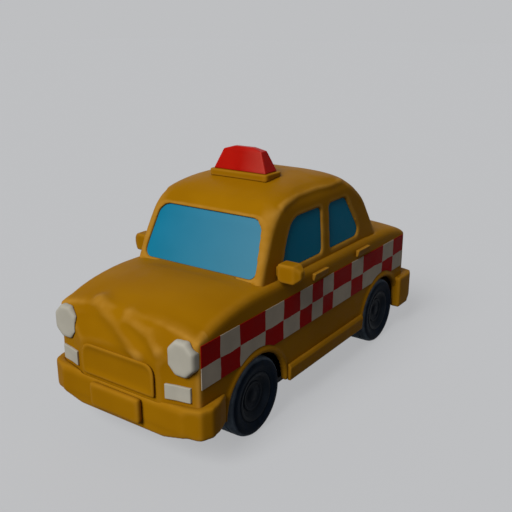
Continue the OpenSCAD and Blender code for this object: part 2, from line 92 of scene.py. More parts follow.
scene = bpy.context.scene
MM = 0.001

# %% [markdown]
# ## Camera
#
# A camera can be set by eye, or worked out from the picture. Pairs that are alike left and right,
# the lamps, the mirrors and the windscreen's corners, fix where this one stood: a little above the
# car, off its front left corner, with a 50 mm lens on a 36 mm sensor.

# %% Camera
eye = Vector((162.57, -234.59, 142.68)) * MM
aim = Vector((0.0, -1.77, 50.69)) * MM
lens = bpy.data.cameras.new("photo_camera")
lens.lens, lens.sensor_width = 50, 36
lens.clip_start, lens.clip_end = 0.01, 50
camera = bpy.data.objects.new("photo_camera", lens)
camera.location = eye
camera.rotation_euler = (aim - eye).to_track_quat("-Z", "Y").to_euler()
scene.collection.objects.link(camera)
scene.camera = camera
print("camera:", round((aim - eye).length / MM), "mm from the car")

# %% [markdown]
# ## Light
#
# The picture has one broad light, high in front of the car and almost in line with it, so the bonnet,
# the roof and the nose are bright, the left side stays dark, and small faces that look forward along
# that side still catch light. Area lamps would fade across the floor, so two suns with wide, soft
# discs are used: a key, and a weak one behind for the far side. In the Standard view a level of 1 shows
# a colour as it is written, and a sun's strength is that level times pi.

# %% Suns
def soft_sun(name, towards, level, disc):
    """A sun that stands in the direction towards, with a disc of that many degrees."""
    data = bpy.data.lights.new(name, "SUN")
    data.energy, data.angle = level * math.pi, math.radians(disc)
    lamp = bpy.data.objects.new(name, data)
    lamp.rotation_euler = Vector(towards).to_track_quat("Z", "Y").to_euler()
    scene.collection.objects.link(lamp)
    print(name, "at a level of", level)


soft_sun("key_light", towards=(-0.01, -0.76, 0.645), level=0.95, disc=30)
soft_sun("far_side_light", towards=(-0.55, 0.72, 0.42), level=0.06, disc=40)
scene.view_settings.view_transform = "Standard"

# %% [markdown]
# ## World and floor
#
# The backdrop is one even grey. A lit wall would show a fall of light, so the world shows that grey to
# the camera and to reflections, and lights the car with a dimmer grey. The Light Path node tells the
# two apart. Three helpers write the nodes: one links or sets a socket, one adds a sum, and one mixes
# two colours.

# %% World
BACKDROP, SKY = (0.515, 0.521, 0.533), (0.15, 0.15, 0.155)


def feed(tree, source, socket):
    """Links a socket to a source, or sets it where the source is a plain value."""
    if isinstance(source, bpy.types.NodeSocket):
        tree.links.new(source, socket)
    else:
        socket.default_value = source


def sums(tree, operation, *values, clamp=False):
    """A Math node. A value is a socket or a number."""
    node = tree.nodes.new("ShaderNodeMath")
    node.operation, node.use_clamp = operation, clamp
    for socket, value in zip(node.inputs, values):
        feed(tree, value, socket)
    return node.outputs[0]


def blend(tree, amount, first, second):
    """Mixes two colours by amount. A colour is a socket or three numbers."""
    mix = tree.nodes.new("ShaderNodeMix")
    mix.data_type = "RGBA"
    tree.links.new(amount, mix.inputs["Factor"])
    for colour, socket in ((first, mix.inputs["A"]), (second, mix.inputs["B"])):
        feed(tree, (*colour, 1) if isinstance(colour, tuple) else colour, socket)
    return mix.outputs["Result"]


def seen_directly(tree):
    """1 where the camera, a reflection or a see-through piece looks, and 0 for the light on the car."""
    path = tree.nodes.new("ShaderNodeLightPath")
    total = path.outputs["Is Camera Ray"]
    for kind in ("Is Glossy Ray", "Is Transmission Ray"):
        total = sums(tree, "ADD", total, path.outputs[kind], clamp=True)
    return total


world = bpy.data.worlds.new("studio")
world.use_nodes = True
scene.world = world
tree = world.node_tree
tree.links.new(blend(tree, seen_directly(tree), SKY, BACKDROP), tree.nodes["Background"].inputs["Color"])
print("world:", len(tree.nodes), "nodes")

# %% [markdown]
# The floor does the same. Most of what the camera sees of it is the flat grey, and the rest is lit, so
# that the car keeps a soft shadow to stand on. The car itself sees a dark floor, which sends little
# light up its sides.

# %% Floor
FLOOR_LIT, FLOOR_DIM, FLAT_SHARE, FLOOR_HALF = (0.665, 0.672, 0.688), (0.05, 0.05, 0.05), 0.76, 6.0


def plain_shader(tree, kind, colour):
    """A shader of one colour."""
    shader = tree.nodes.new(kind)
    shader.inputs["Color"].default_value = (*colour, 1)
    return shader.outputs[0]


def mixed_shader(tree, *sources):
    """Mixes two shaders. The sources are the amount, the first and the second."""
    mix = tree.nodes.new("ShaderNodeMixShader")
    for socket, source in zip(mix.inputs, sources):
        feed(tree, source, socket)
    return mix.outputs[0]


def mesh_of(name, points, faces=()):
    mesh = bpy.data.meshes.new(name)
    mesh.from_pydata(points, [], faces)
    return mesh


def new_piece(name, mesh):
    piece = bpy.data.objects.new(name, mesh)
    scene.collection.objects.link(piece)
    return piece


floor_finish = bpy.data.materials.new("floor_grey")
floor_finish.use_nodes = True
tree = floor_finish.node_tree
tree.nodes.remove(tree.nodes["Principled BSDF"])
lit = plain_shader(tree, "ShaderNodeBsdfDiffuse", FLOOR_LIT)
flat = plain_shader(tree, "ShaderNodeEmission", BACKDROP)
dim = plain_shader(tree, "ShaderNodeBsdfDiffuse", FLOOR_DIM)
seen = mixed_shader(tree, seen_directly(tree), dim, mixed_shader(tree, FLAT_SHARE, lit, flat))
tree.links.new(seen, tree.nodes["Material Output"].inputs["Surface"])

square = [(x * FLOOR_HALF, y * FLOOR_HALF, 0) for x, y in ((-1, -1), (1, -1), (1, 1), (-1, 1))]
floor = new_piece("floor", mesh_of("floor", square, [(0, 1, 2, 3)]))
floor.data.materials.append(floor_finish)
floor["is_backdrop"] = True
print("floor:", 2 * FLOOR_HALF, "m square")

# %% [markdown]
# ## Finishes
#
# Each finish is a small node tree on the Principled shader. All of them read Object coordinates, so
# a pattern stays on its piece from every side. These helpers add what moulded plastic shows close by:
# slow drifts of colour, patches that are a little more or less polished, and a fine grain. Most of a
# noise lies between 0.3 and 0.7, so colours and ranges start and end there.

# %% Helpers for finishes
NOISE_LOW, NOISE_HIGH = 0.3, 0.7


def new_finish(name, **constants):
    """A finish, its tree, its shader and its Object coordinates. Constants are set on the shader."""
    finish = bpy.data.materials.new(name)
    finish.use_nodes = True
    tree = finish.node_tree
    shader = tree.nodes["Principled BSDF"]
    for socket, value in constants.items():
        shader.inputs[socket.replace("_", " ")].default_value = value
    place = tree.nodes.new("ShaderNodeTexCoord").outputs["Object"]
    return finish, tree, shader, place


def noise(tree, place, size, detail=2.0):
    """Noise whose patches are about as wide as size."""
    node = tree.nodes.new("ShaderNodeTexNoise")
    node.inputs["Scale"].default_value = 1 / (size * MM)
    node.inputs["Detail"].default_value = detail
    tree.links.new(place, node.inputs["Vector"])
    return node


def drift(tree, place, size, detail=2.0):
    """The same noise as one value."""
    return noise(tree, place, size, detail).outputs["Fac"]


def tones(tree, amount, stops, steps="LINEAR"):
    """A ramp of colours, with stops of (where, colour)."""
    ramp = tree.nodes.new("ShaderNodeValToRGB")
    ramp.color_ramp.interpolation = steps
    while len(ramp.color_ramp.elements) < len(stops):
        ramp.color_ramp.elements.new(0.5)
    for element, (at, tone) in zip(ramp.color_ramp.elements, stops):
        element.position, element.color = at, (*tone, 1)
    tree.links.new(amount, ramp.inputs["Fac"])
    return ramp.outputs["Color"]


def two_tones(tree, amount, dark, light):
    """A ramp over the range of a noise."""
    return tones(tree, amount, [(NOISE_LOW, dark), (NOISE_HIGH, light)])


def spread(tree, amount, low, high, start=NOISE_LOW, end=NOISE_HIGH):
    """Turns start to end into low to high."""
    between = tree.nodes.new("ShaderNodeMapRange")
    between.inputs["From Min"].default_value, between.inputs["From Max"].default_value = start, end
    between.inputs["To Min"].default_value, between.inputs["To Max"].default_value = low, high
    tree.links.new(amount, between.inputs["Value"])
    return between.outputs["Result"]


def surface(tree, shader, colour, rough, height, depth):
    """Gives a shader its colour, its roughness, and a bump of that depth from a height."""
    bump = tree.nodes.new("ShaderNodeBump")
    bump.inputs["Distance"].default_value = depth * MM
    tree.links.new(height, bump.inputs["Height"])
    for source, name in ((colour, "Base Color"), (rough, "Roughness"), (bump.outputs["Normal"], "Normal")):
        tree.links.new(source, shader.inputs[name])


# %% [markdown]
# Most of the car is one amber plastic, satin rather than glossy. A pale highlight is painted along its tight
# edges, on the pillars, the window frames and the prow. Each amber mesh will carry a value named edge, 1
# where it bulges tightly and 0 where it is flat, and the finish fades to a paler amber by it, which is that
# painted highlight. The highlights are warm, so the specular tint is amber too.

# %% Amber plastic
AMBER_DARK, AMBER_LIGHT, AMBER_HIGHLIGHT = (0.288, 0.123, 0.0010), (0.330, 0.146, 0.0020), (0.420, 0.205, 0.026)


def stored(tree, name):
    """A value that the mesh carries under a name. It is 0 on a mesh without it."""
    value = tree.nodes.new("ShaderNodeAttribute")
    value.attribute_name = name
    return value.outputs["Fac"]


amber, tree, shader, place = new_finish("amber_plastic", Specular_IOR_Level=0.015,
                                        Specular_Tint=(1.0, 0.75, 0.40, 1))
plain = two_tones(tree, drift(tree, place, size=22), AMBER_DARK, AMBER_LIGHT)
patchy = spread(tree, drift(tree, place, size=5, detail=3), low=0.45, high=1.0)
# Painted highlight: paler amber on tight edges, made patchy by noise.
edge_highlight = sums(tree, "MULTIPLY", stored(tree, "edge"), patchy)
polish = spread(tree, drift(tree, place, size=5.5), low=0.40, high=0.52)
surface(tree, shader, blend(tree, edge_highlight, plain, AMBER_HIGHLIGHT), polish,
        drift(tree, place, size=0.8), depth=0.012)
print("amber plastic:", len(tree.nodes), "nodes")

# %% [markdown]
# The panes are opaque blue, the lamps cream, the sign and the tail lamps red, and the hubs and the base
# near-black. These differ only in numbers, so one helper makes them all. The windscreen and the sign have a
# broad pale sheen, a painted reflection, that grows towards the left side of the car. A glossier finish would
# show the room instead, so the sheen is painted in as a second stored value.

# %% Plain finishes
def moulded(name, dark, light, patch, polish, grain, pale=None, **constants):
    """A plastic that drifts from dark to light over patches, with polish as its range of roughness
    and grain as the size and the depth of its bumps. A value named sheen on the mesh fades to pale."""
    finish, tree, shader, place = new_finish(name, **constants)
    colour = two_tones(tree, drift(tree, place, patch), dark, light)
    if pale:
        colour = blend(tree, stored(tree, "sheen"), colour, pale)
    size, depth = grain
    surface(tree, shader, colour, spread(tree, drift(tree, place, patch / 4), *polish),
            drift(tree, place, size), depth)
    return finish


pane_blue = moulded("pane_blue", (0.003, 0.164, 0.278), (0.007, 0.178, 0.300), patch=18, polish=(0.30, 0.42),
                    grain=(1.4, 0.010), pale=(0.062, 0.218, 0.318), Specular_IOR_Level=0.015)
lamp_cream = moulded("lamp_cream", (0.385, 0.362, 0.298), (0.435, 0.410, 0.340), patch=9, polish=(0.40, 0.52),
                     grain=(0.7, 0.010), Specular_IOR_Level=0.06)
sign_red = moulded("sign_red", (0.365, 0.0045, 0.0016), (0.425, 0.0070, 0.0024), patch=10,
                   polish=(0.32, 0.42), grain=(1.0, 0.010), pale=(0.430, 0.044, 0.030),
                   Specular_IOR_Level=0.05, Subsurface_Weight=0.2, Subsurface_Radius=(1.0, 0.2, 0.15),
                   Subsurface_Scale=0.003)
tail_red = moulded("tail_red", (0.230, 0.0040, 0.0030), (0.290, 0.0070, 0.0040), patch=6,
                   polish=(0.24, 0.34), grain=(0.7, 0.010), Specular_IOR_Level=0.06)
hub_navy = moulded("hub_navy", (0.0070, 0.0100, 0.0150), (0.0130, 0.0180, 0.0260), patch=5,
                   polish=(0.36, 0.50), grain=(0.6, 0.012), Specular_IOR_Level=0.03)
base_dark = moulded("base_dark", (0.0120, 0.0130, 0.0150), (0.0200, 0.0210, 0.0240), patch=12,
                    polish=(0.55, 0.72), grain=(0.45, 0.030), Specular_IOR_Level=0.1)
print("plain finishes:", [finish.name for finish in
                          (pane_blue, lamp_cream, sign_red, tail_red, hub_navy, base_dark)])

# %% [markdown]
# The tyres are dark navy too, but their tread is a pale blue-grey, partly scuffed rubber and partly a painted
# highlight where light would catch the running surface. The tyre's mesh will carry a value named tread, 1 on
# the running surface and 0 on the walls, and the finish reads it here.

# %% Tyre finish
# The two palest tones are the tread's wear and its painted highlight.
TYRE_TONES = [(0.05, (0.004, 0.008, 0.014)), (0.2, (0.008, 0.014, 0.026)),
              (0.85, (0.140, 0.180, 0.230)), (1.0, (0.230, 0.295, 0.370))]
TREAD_SHARE, SCUFF_SHARE = 0.8, 0.2
tyre_navy, tree, shader, place = new_finish("tyre_navy", Specular_IOR_Level=0.02)
scuffs = drift(tree, place, size=2.5, detail=4)
# Random scuffs, plus the tread's wear and painted highlight.
wear_and_highlight = sums(tree, "MULTIPLY_ADD", stored(tree, "tread"), TREAD_SHARE, spread(tree, scuffs, 0.0, SCUFF_SHARE))
surface(tree, shader, tones(tree, wear_and_highlight, TYRE_TONES), spread(tree, scuffs, low=0.46, high=0.62),
        drift(tree, place, size=0.5), depth=0.020)
print("tyre finish:", len(TYRE_TONES), "tones")

# %% [markdown]
# The axles and the screws are bright drawn steel, which has fine lines along the wire. A wire could be
# wrapped in a picture of lines, but noise that is stretched along X, the axles' own direction, gives
# them at any size.

# %% Steel
STRETCH = (0.04, 1, 1)
steel, tree, shader, place = new_finish("drawn_steel", Metallic=1.0)
along = tree.nodes.new("ShaderNodeMapping")
along.inputs["Scale"].default_value = STRETCH
tree.links.new(place, along.inputs["Vector"])
lines = drift(tree, along.outputs["Vector"], size=0.25, detail=4)
surface(tree, shader, two_tones(tree, lines, (0.42, 0.43, 0.44), (0.58, 0.59, 0.60)),
        spread(tree, lines, low=0.28, high=0.42), lines, depth=0.006)
print("steel: lines drawn out", round(1 / STRETCH[0]), "times")

# %% [markdown]
# The check band is a printed film: two rows of red and off-white blocks of uneven width. A texture
# of squares would repeat evenly, so a colour ramp with hard steps holds the columns along Y instead,
# and the lower row swaps the two colours. A little noise on the coordinates leaves the printed edges
# less than perfect. On the whole it shifts them by half its width, which the sums below allow for.

# %% Check print
PRINT_RED, PRINT_WHITE = (0.320, 0.0040, 0.0035), (0.460, 0.400, 0.318)
COLUMNS = (-79.3, -68.5, -57.8, -42.6, -30.6, -19.4, -10.2, -1.9, 6.6, 22.4, 33.7, 52.8, 64.0, 75.4)
ROW_Z, WOBBLE, WOBBLE_SIZE, FADED, FRESH = 39.4, 1.2, 7, 0.86, 1.08


def vectors(tree, operation, *values, scale=None):
    """A Vector Math node. A value is a socket or three numbers."""
    node = tree.nodes.new("ShaderNodeVectorMath")
    node.operation = operation
    for socket, value in zip(node.inputs, values):
        feed(tree, value, socket)
    if scale is not None:
        tree.links.new(scale, node.inputs["Scale"])
    return node.outputs["Vector"]


check_print, tree, shader, place = new_finish("check_print", Specular_IOR_Level=0.02)
wobble = noise(tree, place, WOBBLE_SIZE).outputs["Color"]
axes = tree.nodes.new("ShaderNodeSeparateXYZ")
tree.links.new(vectors(tree, "MULTIPLY_ADD", wobble, (WOBBLE * MM,) * 3, place), axes.inputs["Vector"])
first, last = ((y + WOBBLE / 2) * MM for y in (COLUMNS[0], COLUMNS[-1]))
share = spread(tree, axes.outputs["Y"], low=0.0, high=1.0, start=first, end=last)
length = COLUMNS[-1] - COLUMNS[0]
upper = tones(tree, share, [((y - COLUMNS[0]) / length, (1, 1, 1) if k % 2 else (0, 0, 0))
                            for k, y in enumerate(COLUMNS[:-1])], "CONSTANT")
lower = sums(tree, "LESS_THAN", axes.outputs["Z"], (ROW_Z + WOBBLE / 2) * MM)
white = sums(tree, "ABSOLUTE", sums(tree, "SUBTRACT", upper, lower))
worn = drift(tree, place, size=9, detail=4)
inks = [two_tones(tree, worn, tuple(FADED * c for c in ink), tuple(FRESH * c for c in ink))
        for ink in (PRINT_RED, PRINT_WHITE)]
surface(tree, shader, blend(tree, white, *inks), spread(tree, worn, low=0.42, high=0.58),
        drift(tree, place, size=0.5), depth=0.008)
print("check print:", len(COLUMNS) - 1, "columns in two rows")

# %% [markdown]
# ## Tools for shaping
#
# A toy like this has no sharp edge anywhere: the mould rounds every corner. Bevels would need clean
# edge loops on every piece. It is simpler to build a piece with sharp corners, remesh it into small
# even voxels, smooth those, and thin out the flat areas again.

# %% Helpers for shapes
def bake(piece):
    """Swaps a piece's mesh for what its modifiers make of it, and removes them."""
    bpy.context.view_layer.update()
    made = bpy.data.meshes.new_from_object(piece.evaluated_get(bpy.context.evaluated_depsgraph_get()))
    piece.modifiers.clear()
    piece.data = made
    return piece


def reshape(piece, work, source=None):
    """Opens a mesh, the piece's own or another, does work on it, and leaves the result in the piece."""
    shape = bmesh.new()
    shape.from_mesh(piece.data if source is None else source)
    work(shape)
    shape.to_mesh(piece.data)
    shape.free()
    return piece


def face_out(piece):
    """Turns every face of a closed piece outwards."""
    return reshape(piece, lambda shape: bmesh.ops.recalc_face_normals(shape, faces=shape.faces))


def cut(piece, tool, operation="DIFFERENCE"):
    """Cuts piece with tool, which is used up."""
    boolean = piece.modifiers.new("cut", "BOOLEAN")
    boolean.object, boolean.operation, boolean.solver = tool, operation, "MANIFOLD"
    bake(piece)
    bpy.data.objects.remove(tool)
    return piece


def soften(piece, voxel, rounds, triangles):
    """Rounds every edge over a few voxels, then thins the mesh to a number of triangles."""
    remesh = piece.modifiers.new("voxels", "REMESH")
    remesh.mode, remesh.voxel_size = "VOXEL", voxel * MM
    relax = piece.modifiers.new("relax", "SMOOTH")
    relax.factor, relax.iterations = 0.5, rounds
    bake(piece)
    count = 2 * len(piece.data.polygons)
    if count > triangles:
        thin = piece.modifiers.new("thin", "DECIMATE")
        thin.ratio = triangles / count
        bake(piece)
    return piece


# %% [markdown]
# ## A rule in Geometry Nodes
#
# The lower body and the cabin both follow a rule: a section that changes along the car, or up it. A
# node tree can hold such a rule with float curves for what changes, and named inputs for the sizes,
# so the same tree gives the outside, the inside and the layer where the panes lie. This small class
# writes the nodes, because a rule is easier to read as sums than as a page of links.

# %% A writer for rules
class Rule:
    """A node tree that moves points, written as sums on their x, y and z."""

    def __init__(self, name, sizes, kind="NodeSocketFloat"):
        self.tree = bpy.data.node_groups.new(name, "GeometryNodeTree")
        face = self.tree.interface
        face.new_socket("Geometry", in_out="INPUT", socket_type="NodeSocketGeometry")
        self.ids = {size: face.new_socket(size, in_out="INPUT", socket_type=kind).identifier
                    for size in sizes}
        face.new_socket("Geometry", in_out="OUTPUT", socket_type="NodeSocketGeometry")
        self.start = self.tree.nodes.new("NodeGroupInput")
        axes = self.add("ShaderNodeSeparateXYZ", self.add("GeometryNodeInputPosition").outputs[0])
        self.x, self.y, self.z = axes.outputs

    def add(self, kind, *sources):
        """A node, with its first inputs linked or set."""
        node = self.tree.nodes.new(kind)
        for socket, source in zip(node.inputs, sources):
            feed(self.tree, source, socket)
        return node

    def size(self, name):
        return self.start.outputs[name]

    def sum(self, operation, *values):
        return sums(self.tree, operation, *values)

    def curve(self, along, shares, low, high):
        """A smooth curve through evenly spaced shares, read at along, which runs from 0 to 1. The node
        holds values from 0 to 1 too, so each share is kept as its part of the way from low to high."""
        node = self.add("ShaderNodeFloatCurve")
        self.tree.links.new(along, node.inputs["Value"])
        line = node.mapping.curves[0]
        step = 1 / (len(shares) - 1)
        for k in range(1, len(shares) - 1):
            line.points.new(k * step, 0.5)
        for k, share in enumerate(shares):
            line.points[k].location = (k * step, (share - low) / (high - low))
            line.points[k].handle_type = "AUTO_CLAMPED"
        node.mapping.update()
        return self.sum("MULTIPLY_ADD", node.outputs[0], high - low, low)

    def place(self, x, y, z, finish):
        """Moves each point to x, y and z, and closes the tree."""
        point = self.add("ShaderNodeCombineXYZ", x, y, z)
        moved = self.add("GeometryNodeSetPosition", self.start.outputs["Geometry"])
        self.tree.links.new(point.outputs[0], moved.inputs["Position"])
        self.close(moved.outputs[0], finish)

    def close(self, geometry, finish):
        """Ends the tree in a real mesh with its material."""
        real = self.add("GeometryNodeRealizeInstances", geometry)
        coat = self.add("GeometryNodeSetMaterial", real.outputs[0])
        coat.inputs["Material"].default_value = finish
        end = self.tree.nodes.new("NodeGroupOutput")
        self.tree.links.new(coat.outputs[0], end.inputs["Geometry"])

    def make(self, name, mesh, **sizes):
        """Puts a mesh through the rule, with these sizes as its inputs, and keeps a plain mesh."""
        piece = new_piece(name, mesh)
        modifier = piece.modifiers.new("rule", "NODES")
        modifier.node_group = self.tree
        for size, value in sizes.items():
            modifier[self.ids[size]] = value
        return face_out(bake(piece))


# %% [markdown]
# ## Lower body
#
# Bonnet, wings, doors and boot are one hollow moulding. It could be pushed out of a box by hand, but
# the CAD model already says how the section changes from nose to tail: its place, its width, the
# height of its edge and the rise of its crown. A flat unit sheet is bent by that rule. Across the
# sheet, the middle half is the crown and the outer quarters are the sides, and a quarter circle rolls
# one over into the other, as far as the check band leaves room for it.

# %% The rule of the lower body
HALF_W, NOSE_Y, BODY_L, SILL_Z, BODY_H, CROWN = 32.2, -83.0, 162.6, 14.0, 41.5, 2.9
BAND_TOP, SHOULDER_R, LEAST_R, CROWN_POWER, SIDE_POWER = 47.5, 3.4, 0.3, 2.5, 1.6
STATIONS = (
    (0.000, 0.560, 0.590, 0.70), (0.011, 0.760, 0.715, 1.00), (0.021, 0.963, 0.790, 1.30),
    (0.029, 1.000, 0.833, 1.30), (0.055, 1.000, 0.886, 1.20), (0.092, 1.000, 0.934, 1.10),
    (0.141, 1.000, 0.973, 1.00), (0.203, 1.000, 0.998, 0.75), (0.252, 1.000, 1.000, 0.55),
    (0.326, 1.000, 0.988, 0.55), (0.818, 1.000, 0.964, 0.60), (0.892, 1.000, 0.945, 0.60),
    (0.941, 1.000, 0.911, 0.60), (0.972, 1.000, 0.863, 0.55), (0.990, 0.975, 0.783, 0.50),
    (1.000, 0.925, 0.675, 0.40))
places, widths, edges, crowns = zip(*STATIONS)

body_rule = Rule("lower_body", ["Grow", "Foot", "Front"])
r = body_rule
across, along = r.sum("ABSOLUTE", r.x), r.y
top_part = r.sum("MINIMUM", r.sum("MULTIPLY", across, 2.0), 1.0)
side_part = r.sum("POWER", r.sum("MAXIMUM", r.sum("MULTIPLY_ADD", across, 2.0, -1.0), 0.0), SIDE_POWER)
half = r.sum("MULTIPLY_ADD", r.curve(along, widths, 0.5, 1.0), HALF_W * MM, r.size("Grow"))
edge = r.sum("ADD", r.sum("MULTIPLY_ADD", r.curve(along, edges, 0.5, 1.0), BODY_H * MM, SILL_Z * MM),
             r.size("Grow"))
rise = r.sum("MULTIPLY", r.curve(along, crowns, 0.0, 1.5), CROWN * MM)
arch = r.sum("MULTIPLY", rise, r.sum("SUBTRACT", 1.0, r.sum("POWER", top_part, CROWN_POWER)))
drop = r.sum("MULTIPLY", side_part, r.sum("SUBTRACT", edge, r.size("Foot")))
room = r.sum("SUBTRACT", edge, BAND_TOP * MM)
roll = r.sum("MINIMUM", r.sum("MAXIMUM", room, LEAST_R * MM), SHOULDER_R * MM)
unrolled = r.sum("SUBTRACT", 1.0, r.sum("MINIMUM", r.sum("DIVIDE", drop, roll), 1.0))
bulge = r.sum("SQRT", r.sum("SUBTRACT", 1.0, r.sum("MULTIPLY", unrolled, unrolled)))
outwards = r.sum("MULTIPLY_ADD", top_part, r.sum("SUBTRACT", half, roll), r.sum("MULTIPLY", roll, bulge))
back = r.sum("ADD", (NOSE_Y + BODY_L) * MM, r.size("Grow"))
station = r.sum("MULTIPLY_ADD", r.curve(along, places, 0.0, 1.0), BODY_L * MM, NOSE_Y * MM)
r.place(r.sum("MULTIPLY", r.sum("SIGN", r.x), outwards),
        r.sum("MINIMUM", r.sum("MAXIMUM", station, r.size("Front")), back),
        r.sum("SUBTRACT", r.sum("ADD", edge, arch), drop), amber)
print("lower body: a rule of", len(r.tree.nodes), "nodes through", len(STATIONS), "stations")

# %% [markdown]
# The sheet that the rule bends is closed underneath, so what comes out is solid. A second form, smaller
# by the wall and reaching further down, is cut out of it. Solidify could give the wall too, but it folds
# over itself where the nose is tight.

# %% The hollow lower body
WALL, NOSE_WALL, OVERCUT = 2.2, 6, 4


def unit_sheet(rows, columns):
    """A sheet from -1 to 1 in x and 0 to 1 in y, closed underneath and at both ends."""
    points = [(2 * j / columns - 1, i / rows, 0) for i in range(rows + 1) for j in range(columns + 1)]
    w = columns + 1
    faces = [(i * w + j, i * w + j + 1, i * w + w + j + 1, i * w + w + j)
             for i in range(rows) for j in range(columns)]
    faces += [(i * w + columns, i * w, i * w + w, i * w + w + columns) for i in range(rows)]
    faces += [tuple(range(w))[::-1], tuple(range(rows * w, rows * w + w))]
    return mesh_of("sheet", points, faces)


def body_form(name, rows=120, columns=80, grow=0.0, foot=SILL_Z, front=NOSE_Y):
    """The solid form of the lower body, larger by grow, down to foot and forward to front."""
    return body_rule.make(name, unit_sheet(rows, columns), Grow=grow * MM, Foot=foot * MM, Front=front * MM)


body = body_form("body_shell_piece")
cut(body, body_form("body_inside", rows=60, columns=32, grow=-WALL, foot=SILL_Z - OVERCUT,
                    front=NOSE_Y + NOSE_WALL))
print("lower body:", len(body.data.polygons), "faces before softening")

# %% [markdown]
# ## Cabin
#
# The cabin is a second moulding, plugged into the first. Its rule runs upwards: rings that draw in at
# the front, the rear and the sides, with corners that grow rounder towards the roof. A unit drum with
# square rings is bent by it. A point of a ring is held back to the corner's centre and pushed out
# again by the corner's radius, which rounds a rectangle in two steps.

# %% The rule of the cabin
FRONT_Y, CABIN_L, BELT_Z, CABIN_H, CABIN_W = -41.6, 91.2, 55.5, 32.1, 59.2
RINGS = (
    (-0.17, -0.023, -0.038, 1.003, 0.07), (0.00, 0.000, 0.000, 1.000, 0.07),
    (0.30, 0.043, 0.068, 0.983, 0.08), (0.48, 0.072, 0.107, 0.969, 0.10),
    (0.64, 0.098, 0.162, 0.955, 0.15), (0.76, 0.132, 0.212, 0.932, 0.22),
    (0.86, 0.190, 0.261, 0.870, 0.34), (0.935, 0.280, 0.326, 0.710, 0.51),
    (0.98, 0.380, 0.402, 0.450, 0.66), (1.00, 0.440, 0.462, 0.205, 0.66))
heights, fronts, rears, spans, corners = zip(*RINGS)


def rounded_ring(r, x, y, half, depth, radius):
    """x and y run along a square from -1 to 1, and come back on a rounded rectangle."""
    out = r.add("ShaderNodeCombineXYZ", r.sum("MULTIPLY", x, half), r.sum("MULTIPLY", y, depth)).outputs[0]
    limit = r.add("ShaderNodeCombineXYZ", r.sum("SUBTRACT", half, radius),
                  r.sum("SUBTRACT", depth, radius)).outputs[0]
    below = vectors(r.tree, "MULTIPLY", limit, (-1, -1, -1))
    core = vectors(r.tree, "MAXIMUM", vectors(r.tree, "MINIMUM", out, limit), below)
    away = vectors(r.tree, "NORMALIZE", vectors(r.tree, "SUBTRACT", out, core))
    push = vectors(r.tree, "SCALE", away, scale=radius)
    return r.add("ShaderNodeSeparateXYZ", vectors(r.tree, "ADD", core, push)).outputs


cabin_rule = Rule("cabin", ["Grow"])
r = cabin_rule
height = r.curve(r.z, heights, -0.2, 1.0)
half = r.sum("MULTIPLY_ADD", r.curve(r.z, spans, 0.0, 1.01), CABIN_W * MM / 2, r.size("Grow"))
front = r.sum("SUBTRACT", r.sum("MULTIPLY_ADD", r.curve(r.z, fronts, -0.05, 0.5), CABIN_L * MM, FRONT_Y * MM),
              r.size("Grow"))
rear = r.sum("ADD", r.sum("MULTIPLY_ADD", r.curve(r.z, rears, -0.05, 0.5), -CABIN_L * MM,
                          (FRONT_Y + CABIN_L) * MM), r.size("Grow"))
middle = r.sum("MULTIPLY", r.sum("ADD", front, rear), 0.5)
depth = r.sum("MULTIPLY", r.sum("SUBTRACT", rear, front), 0.5)
ring = rounded_ring(r, r.x, r.y, half, depth, r.sum("MULTIPLY", r.curve(r.z, corners, 0.0, 1.0), half))
lift = r.sum("MULTIPLY", r.size("Grow"), height)
r.place(ring[0], r.sum("ADD", ring[1], middle),
        r.sum("ADD", r.sum("MULTIPLY_ADD", height, CABIN_H * MM, BELT_Z * MM), lift), amber)
print("cabin: a rule of", len(r.tree.nodes), "nodes through", len(RINGS), "rings")

# %% [markdown]
# The drum's points are packed towards its corners, because only the corners bend. As with the lower
# body, a smaller form is cut out of a full one.

# %% The hollow cabin
def tube_faces(rings, n):
    """Faces between rings of n points that follow each other, and over both ends."""
    faces = [(i * n + j, i * n + (j + 1) % n, i * n + n + (j + 1) % n, i * n + n + j)
             for i in range(rings) for j in range(n)]
    return faces + [tuple(range(n))[::-1], tuple(range(rings * n, rings * n + n))]


def unit_drum(rings, side):
    """Square rings from z 0 to 1, with points packed towards the corners, and closed ends."""
    steps = [math.sin(math.pi / 2 * (2 * k / side - 1)) for k in range(side)]
    square = ([(1, t) for t in steps] + [(-t, 1) for t in steps]
              + [(-1, -t) for t in steps] + [(t, -1) for t in steps])
    points = [(x, y, i / rings) for i in range(rings + 1) for x, y in square]
    return mesh_of("drum", points, tube_faces(rings, len(square)))


def cabin_form(grow, name="cabin_form"):
    """The solid form of the cabin, larger by grow."""
    return cabin_rule.make(name, unit_drum(rings=72, side=36), Grow=grow * MM)


cabin = cabin_form(0.0, "cabin_shell_piece")
cut(cabin, cabin_form(-WALL))
print("cabin:", len(cabin.data.polygons), "faces before its windows are cut")

# %% [markdown]
# ## Windows
#
# The side windows of the real toy follow its pillars, and the windscreen narrows towards the roof.
# Corners could be typed in one by one, but they come from the cabin's own rings here, so a window
# keeps its distance from the edge of the cabin at its foot and at its head.

# %% Outlines of the windows
WINDOW_Z, SIDE_TOP, SCREEN_TOP, DOOR_Y = 56.4, 75.2, 76.6, 5.6
PILLAR_A, PILLAR_B, PILLAR_C, PILLAR_FRONT, TAPER = 13.5, 6.0, 13.0, 2.8, 1.3


def at_height(z, shares):
    """Reads a column of the rings at a height."""
    return float(np.interp((z - BELT_Z) / CABIN_H, heights, shares))


def front_edge(z):
    return FRONT_Y + at_height(z, fronts) * CABIN_L


def rear_edge(z):
    return FRONT_Y + CABIN_L - at_height(z, rears) * CABIN_L


def half_width(z):
    return at_height(z, spans) * CABIN_W / 2


